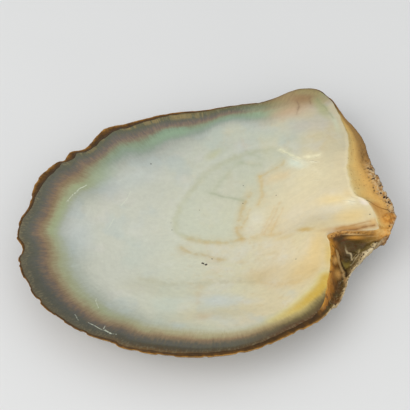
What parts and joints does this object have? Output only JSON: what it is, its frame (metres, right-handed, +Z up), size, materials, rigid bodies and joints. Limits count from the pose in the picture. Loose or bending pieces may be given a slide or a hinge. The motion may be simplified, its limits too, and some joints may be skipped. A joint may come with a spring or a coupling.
{
  "type": "pearl oyster shell",
  "caption": "One valve of a pearl oyster, a shallow round dish of nacre with a ragged horny rim, a thick hinge plate and a hollow under the hinge's ear.",
  "frame": {"origin": "middle of the shell's length and width, at the height of the surface it rests on", "axes": "+Z up through the open side of the dish, +X towards the hinge and the beak, +Y towards the rear wing of the hinge"},
  "size_m": [0.157, 0.1548, 0.0189],
  "materials": {
    "nacre": "pearly nacre inside with a dark rim, matt brown layers outside"
  },
  "bodies": {
    "root": {"shell": "nacre"}
  },
  "joints": []
}
